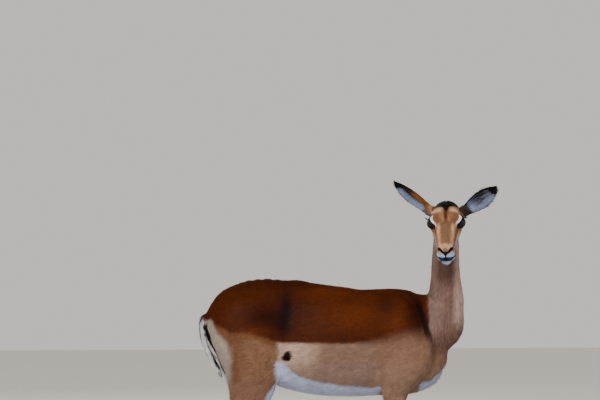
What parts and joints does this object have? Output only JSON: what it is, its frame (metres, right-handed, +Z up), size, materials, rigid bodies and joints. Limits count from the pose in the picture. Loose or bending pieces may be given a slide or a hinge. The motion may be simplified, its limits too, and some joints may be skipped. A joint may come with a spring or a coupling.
{
  "type": "impala ewe",
  "caption": "Life-size hornless female impala standing broadside, head turned to its right toward the viewer, ears spread, short coat with dark saddle and pale belly.",
  "frame": {"origin": "on the floor, under the middle of the animal's bounding box", "axes": "+X the way the body faces, +Y the animal's left, +Z up"},
  "size_m": [1.0122, 0.3656, 1.2117],
  "materials": {
    "saddle": "short glossy hair, mahogany over the back, pale below",
    "fawn": "short fawn hair",
    "face": "very short tan hair with white and black marks",
    "leg": "short tan hair",
    "ear": "short tan hair, black at the tip, pale inside",
    "tail": "long white hair with a black line",
    "horn": "smooth black horn",
    "eye": "wet and glossy, near black"
  },
  "bodies": {
    "root": {"trunk": "saddle", "neck": "fawn", "head": "face", "ear_left": "ear", "ear_right": "ear", "eye_left": "eye", "eye_right": "eye", "tail": "tail", "foreleg_left_upper": "leg", "foreleg_left_shank": "leg", "foreleg_left_pastern": "leg", "foreleg_right_upper": "leg", "foreleg_right_shank": "leg", "foreleg_right_pastern": "leg", "hindleg_left_upper": "leg", "hindleg_left_shank": "leg", "hindleg_left_pastern": "leg", "hindleg_right_upper": "leg", "hindleg_right_shank": "leg", "hindleg_right_pastern": "leg", "claw_fore_left_outer": "horn", "claw_fore_left_inner": "horn", "claw_fore_right_outer": "horn", "claw_fore_right_inner": "horn", "claw_hind_left_outer": "horn", "claw_hind_left_inner": "horn", "claw_hind_right_outer": "horn", "claw_hind_right_inner": "horn"}
  },
  "joints": []
}
